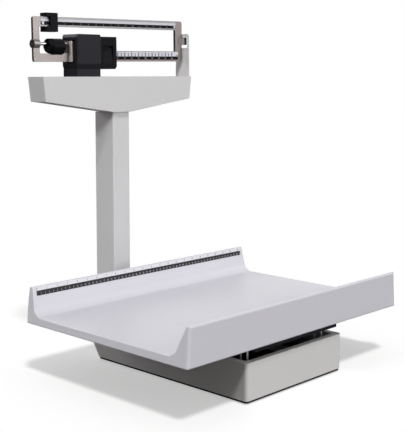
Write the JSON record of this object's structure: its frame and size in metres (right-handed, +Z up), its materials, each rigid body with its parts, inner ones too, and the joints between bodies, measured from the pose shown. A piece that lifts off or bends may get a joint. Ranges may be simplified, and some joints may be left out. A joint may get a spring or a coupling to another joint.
{
  "type": "mechanical baby scale",
  "caption": "Free-standing beam scale for babies: open-ended tray on a lever base, square column, boat-shaped head and a double beam with sliding poises.",
  "frame": {"origin": "on the floor, in the middle of the overall footprint", "axes": "+Z up, the tray's open ends towards -X and +X, the tray's front wall towards -Y and the column at +Y"},
  "size_m": [0.618, 0.572, 0.7117],
  "materials": {
    "tray_plastic": "satin moulded",
    "printed_rule": "printed strip",
    "grey_paint": "smooth enamel",
    "black_paint": "satin enamel",
    "beam_nickel": "satin plated",
    "scale_print": "printed strip",
    "steel": "zinc plated",
    "chrome": "polished",
    "lever_iron": "cast, painted",
    "rubber": "moulded"
  },
  "bodies": {
    "frame": {"base_shell": "grey_paint", "bottom_plate": "steel", "bottom_plate_screws": "steel", "rubber_feet": "rubber", "lever_stands": "steel", "column_bracket": "grey_paint", "column": "grey_paint", "bracket_spacers": "steel", "bracket_bolts": "steel", "column_plug": "steel", "column_screws": "steel", "head_housing": "grey_paint", "chassis_spacers": "steel", "head_bolts": "steel", "head_chassis": "steel", "chassis_screws": "steel", "head_lever_stand": "steel", "beam_stand": "steel", "beam_pedestal": "black_paint", "fulcrum_hood": "black_paint", "trig_bracket": "grey_paint", "trig_rivets": "steel"},
    "platform": {"tray": "tray_plastic", "measuring_rule": "printed_rule", "platform_pan": "black_paint", "tray_screws": "steel", "bearing_blocks": "steel", "bearing_posts": "chrome"},
    "long_lever": {"long_lever": "lever_iron", "long_lever_pivots": "steel"},
    "short_lever": {"short_lever": "lever_iron", "short_lever_pivots": "steel"},
    "lever_link": {"lever_link": "steel"},
    "draft_rod": {"draft_rod": "steel"},
    "head_lever": {"head_lever": "steel", "head_lever_pivots": "steel"},
    "beam_link": {"beam_link": "steel"},
    "beam": {"beam_frame": "beam_nickel", "beam_pivots": "steel", "upper_scale_plate": "scale_print", "lower_scale_plate": "scale_print", "scale_rivets": "steel", "balance_rod": "chrome", "trig_sleeve": "rubber"},
    "small_poise": {"small_poise": "black_paint", "small_poise_plug": "steel"},
    "large_poise": {"large_poise": "black_paint", "large_poise_plug": "steel"},
    "large_balance_weight": {"large_balance_weight": "black_paint", "large_balance_weight_screw": "steel"},
    "small_balance_weight": {"small_balance_weight": "black_paint", "small_balance_weight_screw": "steel"}
  },
  "joints": [
    {"name": "beam_tilt", "type": "hinge", "parent": "frame", "child": "beam", "pos_m": [-0.084, 0.242, 0.628], "axis": [0, 1, 0], "range_deg": [0, 1.25]},
    {"name": "beam_link_lift", "type": "slide", "parent": "frame", "child": "beam_link", "axis": [0, 0, 1], "range_m": [0, 0.0005341]},
    {"name": "head_lever_tilt", "type": "hinge", "parent": "frame", "child": "head_lever", "pos_m": [0.07, 0.242, 0.545], "axis": [0, 1, 0], "range_deg": [0, 0.17191]},
    {"name": "draft_rod_lift", "type": "slide", "parent": "frame", "child": "draft_rod", "axis": [0, 0, 1], "range_m": [0, 0.00021003]},
    {"name": "long_lever_tilt", "type": "hinge", "parent": "frame", "child": "long_lever", "pos_m": [0, -0.2545, 0.05], "axis": [1, 0, 0], "range_deg": [0, 0.024237]},
    {"name": "lever_link_lift", "type": "slide", "parent": "frame", "child": "lever_link", "axis": [0, 0, 1], "range_m": [0, 0.00007995]},
    {"name": "short_lever_tilt", "type": "hinge", "parent": "frame", "child": "short_lever", "pos_m": [0, 0.1235, 0.029], "axis": [1, 0, 0], "range_deg": [-0.024237, 0]},
    {"name": "platform_lift", "type": "slide", "parent": "frame", "child": "platform", "axis": [0, 0, 1], "range_m": [0, 0.00000846]},
    {"name": "small_poise_slide", "type": "slide", "parent": "beam", "child": "small_poise", "axis": [0.9999, 0, 0.0105], "range_m": [0, 0.335]},
    {"name": "large_poise_slide", "type": "slide", "parent": "beam", "child": "large_poise", "axis": [0.9999, 0, 0.0105], "range_m": [0, 0.1855]},
    {"name": "large_balance_weight_slide", "type": "slide", "parent": "beam", "child": "large_balance_weight", "axis": [0.9999, 0, 0.0105], "range_m": [0, 0.0114]},
    {"name": "small_balance_weight_slide", "type": "slide", "parent": "beam", "child": "small_balance_weight", "axis": [0.9999, 0, 0.0105], "range_m": [-0.0205, 0]}
  ],
  "couplings": [
    {"joint": "beam_link_lift", "follows": "beam_tilt", "m_per_rad": 0.024},
    {"joint": "head_lever_tilt", "follows": "beam_tilt", "ratio": 0.13483},
    {"joint": "draft_rod_lift", "follows": "beam_tilt", "m_per_rad": 0.0094382},
    {"joint": "long_lever_tilt", "follows": "beam_tilt", "ratio": 0.019009},
    {"joint": "lever_link_lift", "follows": "beam_tilt", "m_per_rad": 0.0035928},
    {"joint": "short_lever_tilt", "follows": "beam_tilt", "ratio": -0.019009},
    {"joint": "platform_lift", "follows": "beam_tilt", "m_per_rad": 0.00038019}
  ]
}
